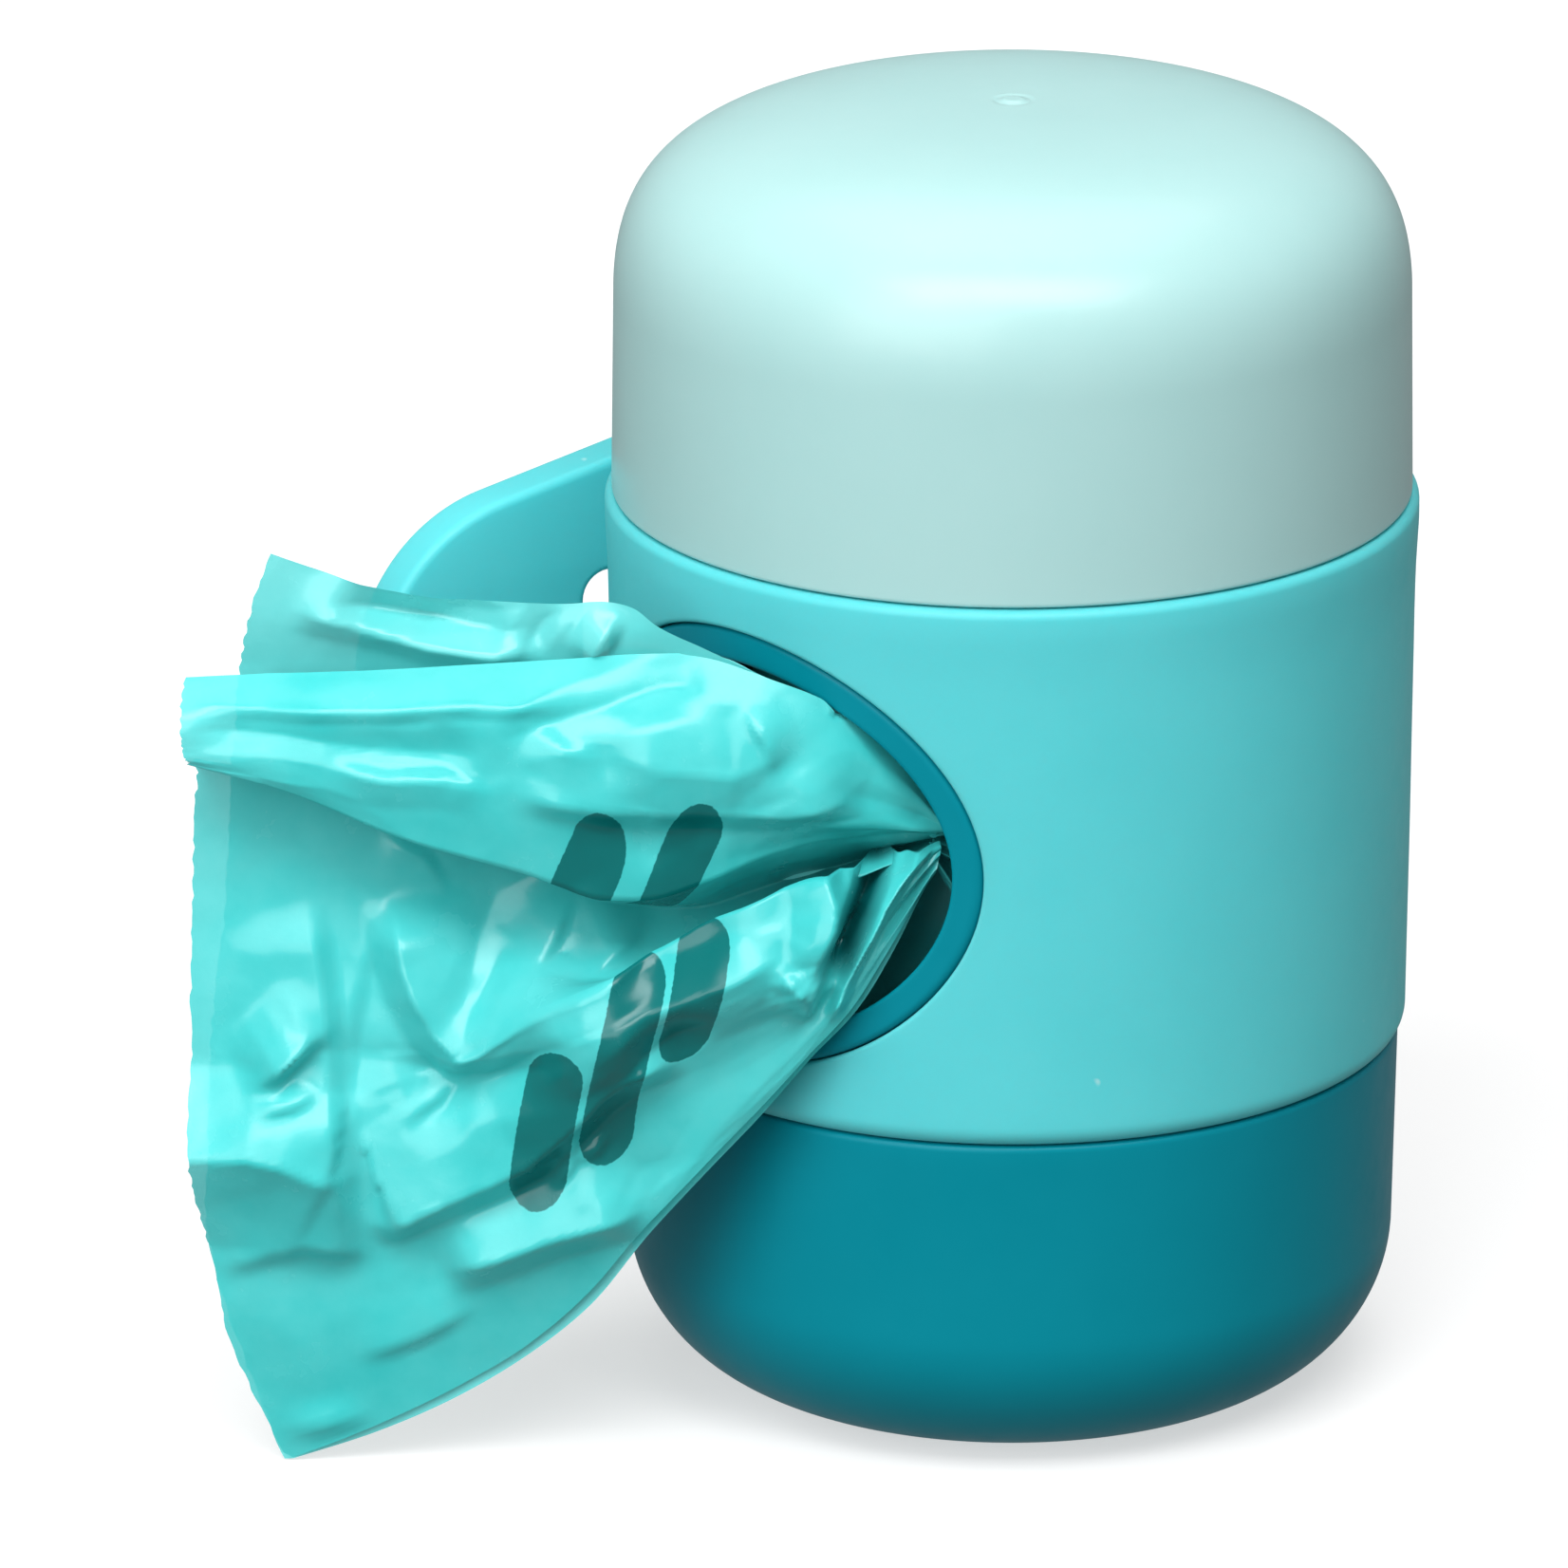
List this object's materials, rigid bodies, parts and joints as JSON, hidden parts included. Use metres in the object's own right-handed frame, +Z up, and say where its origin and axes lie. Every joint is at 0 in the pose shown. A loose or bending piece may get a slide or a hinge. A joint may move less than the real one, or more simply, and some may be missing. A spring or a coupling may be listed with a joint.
{
  "type": "pet waste bag dispenser",
  "caption": "Capsule dispenser for a roll of pet waste bags: pull-off dome cap, soft sleeve with a slotted tab, and an oval opening with the leading bag drawn out.",
  "frame": {"origin": "centre of the base's flat foot, on the surface it stands on", "axes": "+Z up along the capsule's axis, -Y out of the dispensing opening, the slotted tab on the -X side; the leading bag is drawn out 47.5 degrees from -Y towards -X"},
  "size_m": [0.0543, 0.0691, 0.0759],
  "materials": {
    "cap_plastic": "satin moulded plastic, pale aqua",
    "sleeve_silicone": "matte silicone rubber, mid aqua",
    "barrel_plastic": "satin moulded plastic, dark teal",
    "core_paper": "wound kraft paper",
    "bag_film": "thin glossy translucent film, aqua"
  },
  "bodies": {
    "barrel": {"inner_barrel": "barrel_plastic", "silicone_sleeve": "sleeve_silicone"},
    "cap": {"cap": "cap_plastic"},
    "roll": {"roll_core": "core_paper", "bag_roll": "bag_film"},
    "lead_bag": {"pulled_bag": "bag_film"}
  },
  "joints": [
    {"name": "cap_lift", "type": "slide", "parent": "barrel", "child": "cap", "axis": [0, 0, 1], "range_m": [0, 0.065]},
    {"name": "roll_spin", "type": "hinge", "parent": "barrel", "child": "roll", "pos_m": [0, 0, 0.0369], "axis": [0, 0, -1], "range_deg": [0, 954.9]},
    {"name": "bag_pull", "type": "slide", "parent": "barrel", "child": "lead_bag", "axis": [-0.7373, -0.6756, 0], "range_m": [0, 0.25]}
  ],
  "couplings": [
    {"joint": "bag_pull", "follows": "roll_spin", "m_per_rad": 0.015}
  ]
}
